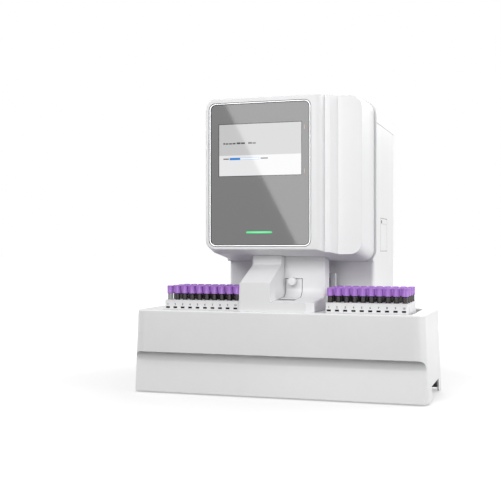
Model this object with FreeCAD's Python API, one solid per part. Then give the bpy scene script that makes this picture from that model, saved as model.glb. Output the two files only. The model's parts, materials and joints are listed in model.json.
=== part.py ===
"""Benchtop glycohemoglobin analyzer with an automatic rack loader.

Millimetres, +Z up, front towards -Y. The dimensions below are measured from the front face of the
loader at Y = 0; save() shifts everything back so that the origin is the centre of the footprint.
"""
import FreeCAD
import Part
import math
import os

V = FreeCAD.Vector
ARC_SHARE = 1.0 - math.sqrt(0.5)

# Whole instrument
overall_depth = 594.0
wall = 4.0
seam = 0.4
foot_height = 12.0
foot_diameter = 30.0
foot_sides = 10

# Loader: the wide base in front
loader_depth = 300.0
deck_z = 210.0
skirt_half_width = 371.3
end_lean = 8.3
deck_half_width = skirt_half_width - end_lean
skirt_bottom_z = 4.0
front_corner_radius = 30.0
rear_corner_radius = 8.0
deck_edge_chamfer = 2.5
band_bottom_z = 105.0
undercut_depth = 20.0
undercut_height = 25.0
undercut_end_reach = 11.0
undercut_end_radius = 24.0
skirt_set_back = 8.0
grip_front_y = 94.0
grip_length = 145.0
grip_height = 31.0
cover_lip = 12.0
chassis_sheet = 2.0
chassis_set_in = 14.0

# Rack wells in the deck and the lane that joins them behind the neck
well_front_y = 26.0
lane_front_y = 195.0
lane_rear_y = 255.0
right_well_x = 120.0
right_well_end_x = 332.0
left_well_x = -300.0
left_well_end_x = -94.0
tray_floor_z = 182.0
tray_sheet = 2.0
tray_flange = 8.0

# Racks, tubes and caps
places_per_rack = 10
racks_per_side = 4
tube_pitch = 20.0
rack_end_margin = 8.0
rack_depth = 34.0
rack_pitch = 38.5
rack_front_y = 27.6
rack_top_z = 235.0
right_rack_x = 125.5
left_rack_x = -291.3
rack_edge_chamfer = 1.5
cell_floor = 6.0
cell_clearance = 0.6
slot_width = 10.0
slot_height = 4.5
slot_z = 214.0
slot_depth = 5.0
tube_diameter = 13.0
tube_length = 60.0
cap_diameter = 16.5
cap_height = 22.0
tube_sides = 6
tube_over_corners = 14.0
cap_sides = 8

# Lane shuttle
shuttle_rail_width = 10.0
shuttle_rail_height = 4.0
shuttle_length = 36.0
shuttle_width = 24.0
shuttle_height = 9.0
shuttle_finger_height = 8.0
shuttle_x = 268.0
running_gap = 0.3

# Column between loader and head, with the single-tube door
neck_left_x = -91.0
neck_step_x = -7.0
neck_right_x = 98.0
neck_rear_y = 189.0
neck_front_y = 8.0
block_front_top_z = 281.0
block_face_y = 106.0
block_face_z = 324.0
block_draft = 3.6
block_edge_radius = 7.0
plinth_front_top_z = 233.5
plinth_floor_end_z = 241.0
plinth_chamfer = 17.5
cove_wall_y = 138.0
cove_radius = 24.0
neck_edge_chamfer = 3.0
hatch_left_x = -4.6
hatch_right_x = 40.0
hatch_top_z = 288.0
hatch_sheet = 3.0
hatch_gap = 0.9
hatch_pocket_depth = 38.0
hatch_pocket_low_z = 211.0
hatch_pocket_top_z = 304.0
seat_wall = 4.0
seat_height = 24.0
hatch_pocket_side = 4.0
knob_diameter = 21.0
knob_length = 15.0
knob_stem_diameter = 9.0
knob_stem_length = 5.0
knob_chamfer = 1.6
knob_sides = 24
knob_x = 15.6
knob_z = 281.5
hinge_pin_diameter = 1.8
hinge_pin_reach = 2.0
hinge_room_radius = 3.2

# Head: bezel, glass and tapered shell
bezel_front_y = 40.0
ledge_y = 60.0
shell_front_y = 80.0
bezel_left_x = -186.0
bezel_flat_end_x = 97.0
bezel_round = 18.0
ledge_end_x = 129.0
bezel_right_x = 145.0
bezel_bottom_z = 361.0
bezel_top_z = 739.0
bezel_corner_radius = 26.0
bezel_edge_chamfer = 2.5
bezel_step = 2.0
shell_left_x = -192.0
shell_right_x = 204.0
shell_bottom_z = 351.0
shell_top_z = 738.0
shell_corner_radius = 30.0
shell_rear_y = 245.0
shell_rear_left_x = -204.0
shell_rear_bottom_z = 331.0
shell_rear_top_z = 747.5
rim_width = 7.0
rim_proud_side = 6.0
rim_proud_top = 2.5
rim_inner_step = 14.0
glass_left_x = -174.8
glass_right_x = 83.7
glass_bottom_z = 372.0
glass_top_z = 725.4
glass_radius = 14.0
glass_thickness = 4.0
trim_width = 2.4
trim_gap = 0.6
glass_recess = 6.0
screen_left_x = -150.4
screen_right_x = 61.5
screen_bottom_z = 546.0
screen_top_z = 674.0
lamp_left_x = -80.6
lamp_right_x = -12.0
lamp_z = 405.0
lamp_height = 5.0

# Rear body
body_half_width = 200.6
body_front_y = 268.0
body_upper_front_y = shell_rear_y + rim_width
body_loader_gap = 3.0
body_corner_radius = 9.0
body_seam_z = 700.0
body_top_z = 740.0
body_top_radius = 20.0
body_rear_radius = 6.0
rear_panel_inset = 18.0
rear_panel_sheet = 3.0
rear_frame_width = 12.0

# Side door and the column bay behind it
door_front_y = 365.0
door_rear_y = 470.0
door_bottom_z = 358.0
door_top_z = 447.0
door_radius = 8.0
door_corner_cut = 1.5
door_sheet = 2.6
door_gap = 1.0
door_groove_z = 432.0
door_groove_depth = 0.8
door_pin_diameter = 1.6
door_pin_length = 9.0
door_pin_inset = 1.2
pin_clearance = 0.08
bay_depth = 78.0
bay_sheet = 2.0
lock_diameter = 9.0
lock_inset_y = 14.0
lock_inset_z = 9.0
lock_length = 10.0
lock_proud = 1.0
lock_clearance = 0.08
lock_cam_length = 13.0
lock_cam_width = 6.0
lock_cam_sheet = 2.0
column_diameter = 14.0
column_length = 62.0
column_nut_flats = 18.0
column_nut_length = 9.0
clip_width = 10.0
clip_stand = 26.0
clip_wall = 3.0
clip_grip = 3.0

# Rear panel fittings
inlet_x = -130.0
inlet_z = 70.0
inlet_width = 48.0
inlet_height = 28.0
inlet_depth = 12.0
switch_x = -70.0
switch_width = 16.0
switch_height = 24.0
switch_gap = 0.8
switch_frame_wall = 1.6
switch_frame_depth = 14.0
trunnion_diameter = 2.4
trunnion_reach = 1.2
port_count = 4
port_pitch = 32.0
port_first_x = 30.0
port_z = 70.0
port_nut_flats = 14.0
port_nut_length = 6.0
port_stub_diameter = 7.0
port_stub_length = 8.0
vent_rows = 12
vent_pitch = 16.0
vent_width = 150.0
vent_height = 6.0
vent_z = 470.0

# Tube gripper on its rail at the back of the lane
gripper_rail_x = 62.0
gripper_rail_width = 14.0
gripper_rail_bottom_z = 232.0
gripper_rail_top_z = 318.0
gripper_rail_depth = 8.0
gripper_tube_x = 86.0
gripper_tube_y = 222.0
gripper_lift = 18.0
gripper_arm_right_x = 107.0
gripper_arm_bottom_z = 254.0
gripper_arm_top_z = 300.0
gripper_plate = 5.0
gripper_grip_gap = 0.4

rack_length = tube_pitch * (places_per_rack - 1) + 2.0 * rack_end_margin
tube_bottom_z = tray_floor_z + cell_floor + seam
tube_top_z = tube_bottom_z + tube_length


def outline(steps, place):
    """Closed wire: a step is a corner, or a pair (point on the way, end) for an arc."""
    edges = []
    here = steps[0]
    for step in steps[1:] + [steps[0]]:
        if isinstance(step[0], tuple):
            middle, end = step
            edges.append(Part.Arc(place(*here), place(*middle), place(*end)).toShape())
            here = end
        elif math.dist(here, step) > 1e-6:
            edges.append(Part.makeLine(place(*here), place(*step)))
            here = step
    return Part.Wire(edges)


def along_x(steps, x_start, x_end):
    """Side view (Y, Z) extruded across the instrument."""
    face = Part.Face(outline(steps, lambda y, z: V(x_start, y, z)))
    return face.extrude(V(x_end - x_start, 0, 0))


def along_y(steps, y_start, y_end):
    """Front view (X, Z) extruded from front to back."""
    face = Part.Face(outline(steps, lambda x, z: V(x, y_start, z)))
    return face.extrude(V(0, y_end - y_start, 0))


def along_z(steps, z_start, z_end):
    """Plan (X, Y) extruded upwards."""
    face = Part.Face(outline(steps, lambda x, y: V(x, y, z_start)))
    return face.extrude(V(0, 0, z_end - z_start))


def block(x0, x1, y0, y1, z0, z1):
    return Part.makeBox(x1 - x0, y1 - y0, z1 - z0, V(x0, y0, z0))


def rounded(a0, a1, b0, b1, radii):
    """Rounded rectangle; radii run from the corner (a0, b0) towards (a1, b0) and round."""
    r1, r2, r3, r4 = radii
    k = ARC_SHARE
    steps = [(a0 + r1, b0), (a1 - r2, b0)]
    if r2:
        steps.append(((a1 - k * r2, b0 + k * r2), (a1, b0 + r2)))
    steps.append((a1, b1 - r3))
    if r3:
        steps.append(((a1 - k * r3, b1 - k * r3), (a1 - r3, b1)))
    steps.append((a0 + r4, b1))
    if r4:
        steps.append(((a0 + k * r4, b1 - k * r4), (a0, b1 - r4)))
    steps.append((a0, b0 + r1))
    if r1:
        steps.append(((a0 + k * r1, b0 + k * r1), (a0 + r1, b0)))
    return steps


def tapered_y(front, y_front, rear, y_rear):
    """Box between two rectangles (left, right, bottom, top), with flat sides."""
    left, right, bottom, top = front
    rear_left, rear_right, rear_bottom, rear_top = rear
    side = along_x(
        [(y_front, bottom), (y_rear, rear_bottom), (y_rear, rear_top), (y_front, top)],
        min(left, rear_left) - wall, max(right, rear_right) + wall,
    )
    plan = along_z(
        [(left, y_front), (right, y_front), (rear_right, y_rear), (rear_left, y_rear)],
        min(bottom, rear_bottom) - wall, max(top, rear_top) + wall,
    )
    return side.common(plan)


def polygon(sides, diameter, a, b):
    """Corners of a regular polygon; the diameter is measured over the corners."""
    corners = []
    for n in range(sides):
        angle = 2.0 * math.pi * (n + 0.5) / sides
        corners.append((a + 0.5 * diameter * math.cos(angle), b + 0.5 * diameter * math.sin(angle)))
    return corners


def over_corners(sides, across_flats):
    return across_flats / math.cos(math.pi / sides)


def prism(sides, diameter, x, y, z0, z1):
    return along_z(polygon(sides, diameter, x, y), z0, z1)


def rounded_edges(shape, radius, wanted):
    return shape.makeFillet(radius, [edge for edge in shape.Edges if wanted(edge)])


def chamfered_edges(shape, size, wanted):
    return shape.makeChamfer(size, [edge for edge in shape.Edges if wanted(edge)])


def edge_ends(edge):
    first = edge.Vertexes[0].Point
    last = edge.Vertexes[-1].Point
    return first, last


def upright(edge):
    first, last = edge_ends(edge)
    return abs(first.x - last.x) < 0.01 and abs(first.y - last.y) < 0.01


def at_height(edge, z):
    first, last = edge_ends(edge)
    return abs(first.z - z) < 0.01 and abs(last.z - z) < 0.01


def at_depth(edge, y):
    first, last = edge_ends(edge)
    return abs(first.y - y) < 0.01 and abs(last.y - y) < 0.01


def head_underside(y):
    """Height of the head's sloping underside at a given depth."""
    share = (y - shell_front_y) / (shell_rear_y - shell_front_y)
    return shell_bottom_z + share * (shell_rear_bottom_z - shell_bottom_z)


# Loader

def loader_half_width(z):
    """Half of the width at a height: the ends lean in towards the deck."""
    share = (deck_z - z) / (deck_z - skirt_bottom_z)
    return deck_half_width + share * (skirt_half_width - deck_half_width)


def loader_form(inset, z_low):
    """Drafted box of the loader with rounded upright edges, moved inwards by the inset."""
    z_high = deck_z - inset
    low_half = loader_half_width(z_low) - inset
    high_half = loader_half_width(z_high) - inset
    steps = [(-low_half, z_low), (low_half, z_low), (high_half, z_high), (-high_half, z_high)]
    rear = loader_depth - inset
    form = along_y(steps, inset, rear)

    def leans(edge):
        first, last = edge_ends(edge)
        return abs(first.z - last.z) > 1.0

    form = rounded_edges(
        form, front_corner_radius - inset, lambda edge: leans(edge) and at_depth(edge, inset)
    )
    return rounded_edges(
        form, rear_corner_radius - inset, lambda edge: leans(edge) and at_depth(edge, rear)
    )


def undercut(inset):
    """The room under the front band, cut back into a concave curve above the sloping skirt."""
    low_y = skirt_set_back + inset
    deep_y = undercut_depth + inset
    top_z = band_bottom_z + inset
    bend_z = top_z - undercut_height
    outside = -2.0 * wall
    steps = [
        (outside, -wall),
        (low_y, -wall),
        (deep_y, bend_z),
        ((deep_y * (1 - ARC_SHARE), top_z - ARC_SHARE * undercut_height), (0.0, top_z)),
        (outside, top_z),
    ]
    end_x = deck_half_width + undercut_end_reach + inset
    profile = along_x(steps, -end_x, end_x)
    radii = (0, 0, undercut_end_radius, undercut_end_radius)
    ends = along_y(rounded(-end_x, end_x, -wall, top_z, radii), outside, deep_y + wall)
    return profile.common(ends)


def well_outline(grow):
    """The two wells and the lane, as one plan area."""
    areas = [
        (right_well_x, right_well_end_x, well_front_y, lane_rear_y),
        (left_well_x, left_well_end_x, well_front_y, lane_rear_y),
        (left_well_x, right_well_end_x, lane_front_y, lane_rear_y),
    ]
    return [(x0 - grow, x1 + grow, y0 - grow, y1 + grow) for x0, x1, y0, y1 in areas]


def well_room(grow, z0, z1):
    rooms = [block(*area, z0, z1) for area in well_outline(grow)]
    return rooms[0].multiFuse(rooms[1:]).removeSplitter()


def make_loader_cover():
    outside = loader_form(0.0, skirt_bottom_z)
    outside = chamfered_edges(outside, deck_edge_chamfer, lambda edge: at_height(edge, deck_z))
    inside = loader_form(wall, skirt_bottom_z - wall)
    cover = outside.cut(undercut(0.0)).cut(inside.cut(undercut(wall)))
    cover = cover.cut(well_room(0.0, deck_z - 2.0 * wall, deck_z + wall))
    reach = 4.0 * wall
    grip_top_z = skirt_bottom_z + grip_height
    for side in (-1, 1):
        x = side * skirt_half_width
        hold = block(x - reach, x + reach, grip_front_y, grip_front_y + grip_length, 0, grip_top_z)
        cover = cover.cut(hold)
    return cover


def make_rack_tray():
    bottom = tray_floor_z - tray_sheet
    top = deck_z - wall
    tub = well_room(tray_sheet, bottom, top)
    flange = well_room(tray_flange, top - tray_sheet, top)
    return tub.fuse(flange).cut(well_room(0.0, tray_floor_z, top + wall)).removeSplitter()


def make_loader_chassis():
    """Bent steel pan inside the cover, with four posts under the tray."""
    half = deck_half_width - chassis_set_in
    front = undercut_depth + chassis_set_in
    rear = loader_depth - chassis_set_in
    low = foot_height
    pan = block(-half, half, front, rear, low, low + chassis_sheet)
    side_height = 60.0
    pieces = []
    for side in (-1, 1):
        x0 = side * half - (chassis_sheet if side > 0 else 0.0)
        pieces.append(block(x0, x0 + chassis_sheet, front, rear, low, side_height))
    post = 20.0
    tray_bottom = tray_floor_z - tray_sheet
    post_y = (well_front_y + post, lane_rear_y - 2.0 * post)
    for x in (left_well_x + 2.0 * post, right_well_end_x - 3.0 * post):
        for y in post_y:
            pieces.append(block(x, x + post, y, y + post, low, tray_bottom))
    return pan.multiFuse(pieces).removeSplitter()


def make_feet():
    places = []
    for x in (-deck_half_width + 60.0, deck_half_width - 60.0):
        for y in (60.0, loader_depth - 50.0):
            places.append((x, y))
    for x in (-body_half_width + 45.0, body_half_width - 45.0):
        for y in (loader_depth + 50.0, overall_depth - 50.0):
            places.append((x, y))
    feet = []
    for x, y in places:
        feet.append(prism(foot_sides, foot_diameter, x, y, 0, foot_height))
    return Part.makeCompound(feet)


# Racks

def rack_places(first_x):
    return [first_x + rack_end_margin + tube_pitch * n for n in range(places_per_rack)]


def rack_y(number):
    return rack_front_y + rack_pitch * number


def make_rack(first_x, front_y):
    body = block(first_x, first_x + rack_length, front_y, front_y + rack_depth, tray_floor_z, rack_top_z)
    body = chamfered_edges(body, rack_edge_chamfer, upright)
    side = tube_diameter + 2.0 * cell_clearance
    axis_y = front_y + 0.5 * rack_depth
    holes = []
    for x in rack_places(first_x):
        holes.append(
            block(
                x - 0.5 * side, x + 0.5 * side, axis_y - 0.5 * side, axis_y + 0.5 * side,
                tray_floor_z + cell_floor, rack_top_z + wall,
            )
        )
        holes.append(
            block(
                x - 0.5 * slot_width, x + 0.5 * slot_width, front_y - wall, front_y + slot_depth,
                slot_z, slot_z + slot_height,
            )
        )
    return body.cut(Part.makeCompound(holes))


def make_tubes(first_x, front_y):
    axis_y = front_y + 0.5 * rack_depth
    tubes = []
    for x in rack_places(first_x):
        tubes.append(prism(tube_sides, tube_over_corners, x, axis_y, tube_bottom_z - seam, tube_top_z))
    return Part.makeCompound(tubes)


def make_caps(first_x, front_y):
    axis_y = front_y + 0.5 * rack_depth
    caps = []
    width = over_corners(cap_sides, cap_diameter)
    for x in rack_places(first_x):
        caps.append(prism(cap_sides, width, x, axis_y, tube_top_z, tube_top_z + cap_height))
    return Part.makeCompound(caps)


# Lane

def lane_middle():
    return 0.5 * (lane_front_y + lane_rear_y)


def make_shuttle_rail():
    y = lane_middle()
    half = 0.5 * shuttle_rail_width
    margin = 12.0
    return block(
        left_well_x + margin, right_well_end_x - margin, y - half, y + half,
        tray_floor_z, tray_floor_z + shuttle_rail_height,
    )


def make_lane_shuttle():
    y = lane_middle()
    half = 0.5 * shuttle_width
    low = tray_floor_z + 1.0
    top = tray_floor_z + shuttle_rail_height + shuttle_height
    saddle = block(shuttle_x, shuttle_x + shuttle_length, y - half, y + half, low, top)
    groove_half = 0.5 * shuttle_rail_width + running_gap
    groove = block(
        shuttle_x - wall, shuttle_x + shuttle_length + wall, y - groove_half, y + groove_half,
        tray_floor_z - wall, tray_floor_z + shuttle_rail_height + running_gap,
    )
    finger = block(shuttle_x, shuttle_x + 6.0, y - half, y + half, top, top + shuttle_finger_height)
    return saddle.cut(groove).fuse(finger).removeSplitter()


# Neck and single-tube door

def neck_top(y):
    return head_underside(y) - seam


def cove_steps(inset):
    """Side view of plinth floor, cove and wall, moved inwards by the inset."""
    wall_y = cove_wall_y + inset
    floor_z = plinth_floor_end_z - inset
    start_y = wall_y - cove_radius - inset
    middle = (wall_y - (cove_radius + inset) * ARC_SHARE, floor_z + (cove_radius + inset) * ARC_SHARE)
    return [(start_y, floor_z), (middle, (wall_y, floor_z + cove_radius + inset))]


def make_neck_cover():
    front = neck_front_y
    left_steps = [
        (front, deck_z),
        (front, block_front_top_z),
        (block_face_y, block_face_z),
        (block_face_y, neck_top(block_face_y)),
        (neck_rear_y, neck_top(neck_rear_y)),
        (neck_rear_y, deck_z),
    ]
    left = along_x(left_steps, neck_left_x, neck_step_x)
    lean_height = neck_top(block_face_y) - deck_z
    lean = block_draft / (block_front_top_z - deck_z) * lean_height
    shave = along_y(
        [
            (neck_left_x - wall, deck_z - 1.0),
            (neck_left_x, deck_z - 1.0),
            (neck_left_x, deck_z),
            (neck_left_x + lean, deck_z + lean_height),
            (neck_left_x + lean, deck_z + lean_height + wall),
            (neck_left_x - wall, deck_z + lean_height + wall),
        ],
        front - wall, neck_rear_y + wall,
    )
    left = left.cut(shave)

    def left_corner(edge):
        first, last = edge_ends(edge)
        near = neck_left_x + lean + 0.1
        on_left = first.x < near and last.x < near
        return on_left and max(first.y, last.y) < neck_rear_y - 1.0 and not at_height(edge, deck_z)

    left = rounded_edges(left, block_edge_radius, left_corner)
    right_steps = [(front, deck_z), (front, plinth_front_top_z)] + cove_steps(0.0)
    right_steps += [
        (cove_wall_y, neck_top(cove_wall_y)),
        (neck_rear_y, neck_top(neck_rear_y)),
        (neck_rear_y, deck_z),
    ]
    right = along_x(right_steps, neck_step_x, neck_right_x)

    def right_corner(edge):
        first, last = edge_ends(edge)
        at_wall = abs(first.y - cove_wall_y) < 0.01
        return upright(edge) and at_wall and first.x > neck_right_x - 0.1

    right = chamfered_edges(right, neck_edge_chamfer, right_corner)
    corner_x = neck_right_x - plinth_chamfer
    chamfer = along_z(
        [
            (corner_x, front),
            (corner_x, front - wall),
            (neck_right_x + wall, front - wall),
            (neck_right_x + wall, front + plinth_chamfer),
            (neck_right_x, front + plinth_chamfer),
        ],
        deck_z - 1.0, plinth_front_top_z + cove_radius,
    )
    cover = left.fuse(right.cut(chamfer)).removeSplitter()
    y, z = hatch_axis()
    pin_hole = Part.makeCylinder(
        0.5 * hinge_pin_diameter + pin_clearance, hatch_pin_length() + 0.4,
        V(hatch_left_x - hinge_pin_reach - 0.2, y, z), V(1, 0, 0),
    )
    tip_room = Part.makeCylinder(
        hinge_room_radius, hatch_right_x - hatch_left_x, V(hatch_left_x, y, z), V(1, 0, 0)
    )
    return cover.cut(hatch_opening()).cut(tip_room).cut(pin_hole).cut(neck_inside())


def neck_inside():
    """Hollow of the cover, open towards the deck."""
    inner = 0.5 * wall
    room = block(
        neck_left_x + 3.0 * wall, hatch_left_x - 2.0 * wall, block_face_y + inner, neck_rear_y - wall,
        deck_z - 1.0, head_underside(neck_rear_y) - 2.0 * wall,
    )
    return room


def hatch_band(inset, thickness, side):
    """Bent sheet of the door: floor tip, cove and wall up to the top edge."""
    outer = cove_steps(inset)
    inner = cove_steps(inset + thickness)
    tip_y = outer[0][0] - 4.0
    top_z = hatch_top_z
    steps = [(tip_y, outer[0][1])] + outer
    steps += [(cove_wall_y + inset, top_z), (cove_wall_y + inset + thickness, top_z)]
    steps += [inner[1][1]]
    steps += [(inner[1][0], inner[0])]
    steps += [(tip_y, inner[0][1])]
    return along_x(steps, hatch_left_x + side, hatch_right_x - side)


def hatch_opening():
    """Cut for the door with its gap, and the pocket for one tube behind it."""
    cut = hatch_band(-0.5, hatch_sheet + 0.5 + hatch_gap, 0.0)
    above = block(
        hatch_left_x, hatch_right_x, cove_wall_y - 1.0, cove_wall_y + hatch_sheet + hatch_gap,
        hatch_top_z - 1.0, hatch_top_z + hatch_gap,
    )
    pocket = block(
        hatch_left_x + hatch_pocket_side, hatch_right_x - hatch_pocket_side,
        cove_wall_y + hatch_sheet, cove_wall_y + hatch_pocket_depth,
        hatch_pocket_low_z, hatch_pocket_top_z,
    )
    return cut.fuse([above, pocket])


def make_hatch():
    y, z = hatch_axis()
    hole = Part.makeCylinder(
        0.5 * hinge_pin_diameter + 0.5 * pin_clearance, hatch_pin_length(),
        V(hatch_left_x - hinge_pin_reach, y, z), V(1, 0, 0),
    )
    return hatch_band(0.0, hatch_sheet, hatch_gap).cut(hole)


def hatch_axis():
    """Hinge line under the tip of the door (Y, Z)."""
    return cove_steps(0.0)[0][0] - 2.0, plinth_floor_end_z - 0.5 * hatch_sheet


def hatch_pin_length():
    return hatch_right_x - hatch_left_x + 2.0 * hinge_pin_reach


def make_hatch_pin():
    y, z = hatch_axis()
    start = V(hatch_left_x - hinge_pin_reach, y, z)
    return Part.makeCylinder(0.5 * hinge_pin_diameter, hatch_pin_length(), start, V(1, 0, 0))


def make_hatch_knob():
    """Stem and faceted round cap with a chamfer on its front."""
    near = cove_wall_y
    back = near - knob_stem_length
    front = back - knob_length
    cap = along_y(polygon(knob_sides, knob_diameter, knob_x, knob_z), front, back)
    cap = chamfered_edges(cap, knob_chamfer, lambda edge: at_depth(edge, front))
    stem = along_y(polygon(knob_sides // 2, knob_stem_diameter, knob_x, knob_z), back, near)
    return cap.fuse(stem)


def make_hatch_seat():
    """Holder for the urgent sample tube in the pocket."""
    x = 0.5 * (hatch_left_x + hatch_right_x)
    y = cove_wall_y + 0.5 * hatch_pocket_depth
    low = hatch_pocket_low_z
    half = 0.5 * tube_diameter + cell_clearance
    outer = half + seat_wall
    seat = block(x - outer, x + outer, y - outer, y + outer, low, low + seat_height)
    cell = block(x - half, x + half, y - half, y + half, low + seat_wall, low + seat_height + 1.0)
    return seat.cut(cell)


# Head

def make_front_bezel():
    """Front panel: flat face, round right edge, ledge and slope down to the shell."""
    front = bezel_front_y
    k = ARC_SHARE
    envelope = tapered_y(
        (bezel_left_x, bezel_right_x, bezel_bottom_z, bezel_top_z), front,
        (shell_left_x + bezel_step, bezel_right_x, shell_bottom_z, bezel_top_z), shell_front_y,
    )

    def left_corner(edge):
        first, last = edge_ends(edge)
        return abs(first.y - last.y) > 1.0 and max(first.x, last.x) < 0.0

    envelope = rounded_edges(envelope, bezel_corner_radius, left_corner)
    envelope = chamfered_edges(
        envelope, bezel_edge_chamfer,
        lambda edge: at_depth(edge, front) and min(end.x for end in edge_ends(edge)) < 0.0,
    )
    plan = [
        (shell_left_x, shell_front_y),
        (shell_left_x, front),
        (bezel_flat_end_x, front),
        (
            (bezel_flat_end_x + bezel_round * (1 - k), front + bezel_round * k),
            (bezel_flat_end_x + bezel_round, front + bezel_round),
        ),
        (bezel_flat_end_x + bezel_round, ledge_y),
        (ledge_end_x, ledge_y),
        (bezel_right_x, shell_front_y),
    ]
    bezel = along_z(plan, shell_bottom_z, bezel_top_z).common(envelope)
    hollow = glass_area(-2.0 * wall, glass_recess + wall, shell_front_y - front + 1.0)
    return bezel.cut(glass_area(trim_gap + trim_width, 0.0, glass_recess)).cut(hollow)


def glass_area(grow, y_from, depth):
    """Rounded glass outline grown on all sides, from a distance behind the bezel's face."""
    radius = glass_radius + grow
    steps = rounded(
        glass_left_x - grow, glass_right_x + grow, glass_bottom_z - grow, glass_top_z + grow,
        (radius, radius, radius, radius),
    )
    return along_y(steps, bezel_front_y + y_from, bezel_front_y + depth)


def make_glass_trim():
    ring = glass_area(trim_width, 0.0, glass_recess).cut(glass_area(0.0, -1.0, glass_recess + 1.0))
    return ring


def screen_room(grow, y_from, depth):
    return block(
        screen_left_x - grow, screen_right_x + grow, bezel_front_y + y_from, bezel_front_y + depth,
        screen_bottom_z - grow, screen_top_z + grow,
    )


def lamp_room(grow, y_from, depth):
    half = 0.5 * lamp_height + grow
    left, right = lamp_left_x - grow, lamp_right_x + grow
    steps = [
        (left, lamp_z), (left + half, lamp_z - half), (right - half, lamp_z - half),
        (right, lamp_z), (right - half, lamp_z + half), (left + half, lamp_z + half),
    ]
    return along_y(steps, bezel_front_y + y_from, bezel_front_y + depth)


def glass_set_back():
    return glass_recess - glass_thickness


def make_glass_panel():
    panel = glass_area(-running_gap, glass_set_back(), glass_recess)
    panel = panel.cut(screen_room(running_gap, -1.0, glass_recess + 1.0))
    return panel.cut(lamp_room(running_gap, -1.0, glass_recess + 1.0))


def make_screen():
    return screen_room(0.0, glass_set_back() + 0.2, glass_recess)


def make_status_lamp():
    return lamp_room(0.0, glass_set_back() + 0.2, glass_recess)


def shell_form(inset, y_front, y_rear):
    """The head's tapered body with round lengthwise edges, moved inwards by the inset."""
    form = tapered_y(
        (shell_left_x + inset, shell_right_x - inset, shell_bottom_z + inset, shell_top_z - inset),
        y_front,
        (
            shell_rear_left_x + inset, shell_right_x - inset,
            shell_rear_bottom_z + inset, shell_rear_top_z - inset,
        ),
        y_rear,
    )

    def lengthwise(edge):
        first, last = edge_ends(edge)
        return abs(first.y - last.y) > 1.0

    return rounded_edges(form, shell_corner_radius - inset, lengthwise)


def make_head_shell():
    outside = shell_form(0.0, shell_front_y, shell_rear_y)
    return outside.cut(shell_form(wall, shell_front_y + wall, shell_rear_y + 1.0))


def make_rim_frame():
    """Flange between the head's shell and the rear body, standing proud all round."""
    radius = shell_corner_radius + rim_proud_side
    steps = rounded(
        shell_rear_left_x - rim_proud_side, shell_right_x + rim_proud_side,
        shell_rear_bottom_z, shell_rear_top_z + rim_proud_top,
        (shell_corner_radius, shell_corner_radius, radius, radius),
    )
    ring = along_y(steps, shell_rear_y, shell_rear_y + rim_width)
    inner = block(
        shell_rear_left_x + rim_inner_step, shell_right_x - rim_inner_step,
        shell_rear_y - 1.0, shell_rear_y + rim_width + 1.0,
        shell_rear_bottom_z + rim_inner_step, body_seam_z - rim_inner_step,
    )
    return ring.cut(inner)


# Rear body

def body_profile(inset, rear_y):
    upper = body_upper_front_y + inset
    front = body_front_y + inset
    lower = loader_depth + body_loader_gap + inset
    under = shell_rear_bottom_z + inset
    return [
        (lower, foot_height + inset),
        (rear_y, foot_height + inset),
        (rear_y, body_seam_z),
        (upper, body_seam_z),
        (upper, under),
        (front, under),
        (front, deck_z + inset),
        (lower, deck_z + inset),
    ]


def door_area(grow, x0, x1):
    """Side view of the door: one large round corner, the others cut off a little."""
    front, rear = door_front_y - grow, door_rear_y + grow
    low, high = door_bottom_z - grow, door_top_z + grow
    radius = door_radius + grow
    k = ARC_SHARE
    cut = door_corner_cut - 0.5 * grow
    steps = [
        (front + radius, low), (rear - cut, low), (rear, low + cut), (rear, high - cut),
        (rear - cut, high), (front + cut, high), (front, high - cut), (front, low + radius),
        ((front + k * radius, low + k * radius), (front + radius, low)),
    ]
    return along_x(steps, x0, x1)


def make_rear_housing():
    outside = along_x(body_profile(0.0, overall_depth), -body_half_width, body_half_width)

    def front_corner(edge):
        first = edge_ends(edge)[0]
        return upright(edge) and abs(first.y - body_front_y) < 0.01

    def rear_corner(edge):
        first = edge_ends(edge)[0]
        return upright(edge) and abs(first.y - overall_depth) < 0.01

    outside = rounded_edges(outside, body_corner_radius, front_corner)
    outside = rounded_edges(outside, body_rear_radius, rear_corner)
    inner_x = body_half_width - wall
    rear_room = overall_depth - rear_panel_inset
    steps = body_profile(wall, rear_room)
    steps[2] = (rear_room, body_seam_z - wall)
    steps[3] = (body_upper_front_y + wall, body_seam_z - wall)
    inside = along_x(steps, -inner_x, inner_x)
    frame = rear_frame_width
    window = block(
        -body_half_width + frame, body_half_width - frame, rear_room - 1.0, overall_depth + 1.0,
        foot_height + frame, body_seam_z - frame,
    )
    housing = outside.cut(inside).cut(window)
    housing = housing.cut(door_area(door_gap, body_half_width - 2.0 * wall, body_half_width + 1.0))
    return housing.cut(door_pin_set(pin_clearance))


def make_top_cover():
    """Lid with a front view, a side view and a plan of its own, crossed with each other."""
    half = body_half_width
    low = body_seam_z + seam
    front = body_upper_front_y
    rear = overall_depth
    top = body_top_radius
    corner = body_rear_radius
    across = along_y(rounded(-half, half, low, body_top_z, (0, 0, top, top)), front, rear)
    side = along_x(rounded(front, rear, low, body_top_z, (0, 0, top, 0)), -half, half)
    plan = along_z(rounded(-half, half, front, rear, (0, 0, corner, corner)), low, body_top_z)
    inside = block(
        -half + cover_lip, half - cover_lip, front + cover_lip, rear - cover_lip,
        low - 1.0, body_top_z - cover_lip,
    )
    return across.common(side).common(plan).cut(inside)


def bay_room(grow, x0, x1):
    margin = 3.0 - grow
    return block(
        x0, x1, door_front_y + margin, door_rear_y - margin, door_bottom_z + margin, door_top_z - margin
    )


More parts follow.
